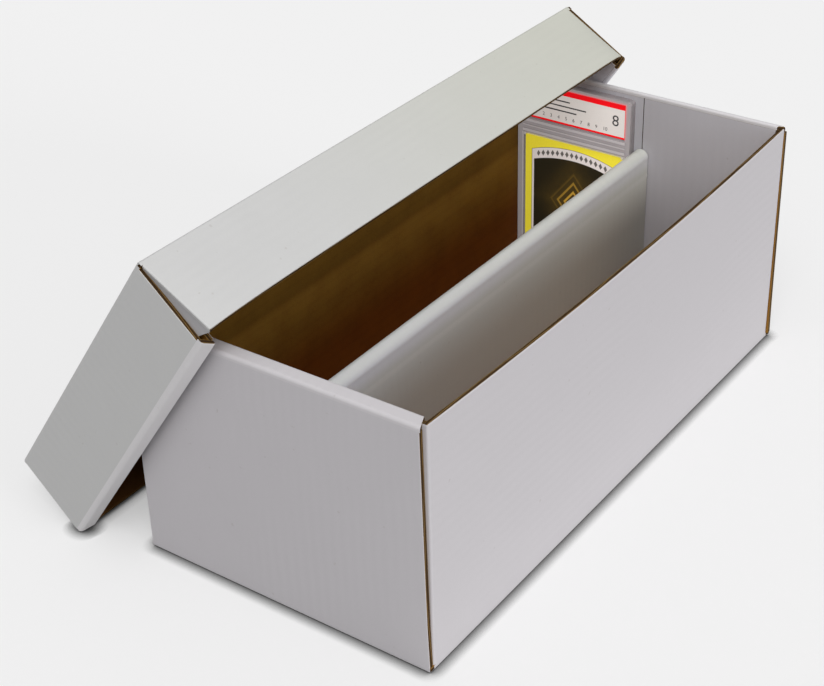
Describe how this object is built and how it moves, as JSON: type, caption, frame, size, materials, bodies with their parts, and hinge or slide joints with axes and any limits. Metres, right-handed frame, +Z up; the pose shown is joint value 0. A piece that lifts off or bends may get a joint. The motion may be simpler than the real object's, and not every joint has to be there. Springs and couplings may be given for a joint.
{
  "type": "two-row graded card storage box",
  "caption": "Open corrugated storage box for graded cards: two long rows parted by a folded divider, lid leaning on one side wall, a hard card holder standing in one row.",
  "frame": {"origin": "middle of the tray's underside, on the surface that the box stands on", "axes": "+X across the two rows to the right, +Y along the rows to the far end, +Z up; the near end faces -Y"},
  "size_m": [0.2713, 0.4042, 0.1878],
  "materials": {
    "tray_board": "white-lined corrugated board, matt",
    "lid_board": "white-lined corrugated board, matt",
    "divider_board": "white-lined corrugated board, matt",
    "flap_board": "brown kraft side of the board, matt",
    "holder_shell": "clear moulded plastic",
    "label_paper": "printed label paper",
    "card_stock": "printed card stock"
  },
  "bodies": {
    "tray": {"tray_base": "tray_board", "tray_left_wall": "tray_board", "tray_right_wall": "tray_board", "tray_near_end_panel": "tray_board", "tray_near_rim_strip": "tray_board", "tray_near_inner_left": "tray_board", "tray_near_inner_right": "tray_board", "tray_near_left_flap": "flap_board", "tray_near_right_flap": "flap_board", "tray_far_end_panel": "tray_board", "tray_far_rim_strip": "tray_board", "tray_far_inner_left": "tray_board", "tray_far_inner_right": "tray_board", "tray_far_left_flap": "flap_board", "tray_far_right_flap": "flap_board"},
    "lid": {"lid_top_panel": "lid_board", "lid_upper_wall": "lid_board", "lid_lower_wall": "lid_board", "lid_near_end_panel": "lid_board", "lid_near_rim_strip": "lid_board", "lid_near_inner_panel": "lid_board", "lid_near_upper_flap": "flap_board", "lid_near_lower_flap": "flap_board", "lid_far_end_panel": "lid_board", "lid_far_rim_strip": "lid_board", "lid_far_inner_panel": "lid_board", "lid_far_upper_flap": "flap_board", "lid_far_lower_flap": "flap_board"},
    "divider": {"divider_left_leaf": "divider_board", "divider_right_leaf": "divider_board", "divider_top_fold": "divider_board"},
    "card_holder": {"holder_back_shell": "holder_shell", "holder_front_shell": "holder_shell", "holder_label": "label_paper", "holder_card": "card_stock"}
  },
  "joints": [
    {"name": "lid_tip", "type": "hinge", "parent": "tray", "child": "lid", "pos_m": [-0.13355, 0, 0], "axis": [0, -1, 0], "range_deg": [0, 34]},
    {"name": "divider_lift", "type": "slide", "parent": "tray", "child": "divider", "axis": [0, 0, 1], "range_m": [0, 0.15]},
    {"name": "holder_slide", "type": "slide", "parent": "tray", "child": "card_holder", "axis": [0, -1, 0], "range_m": [0, 0.355]}
  ]
}
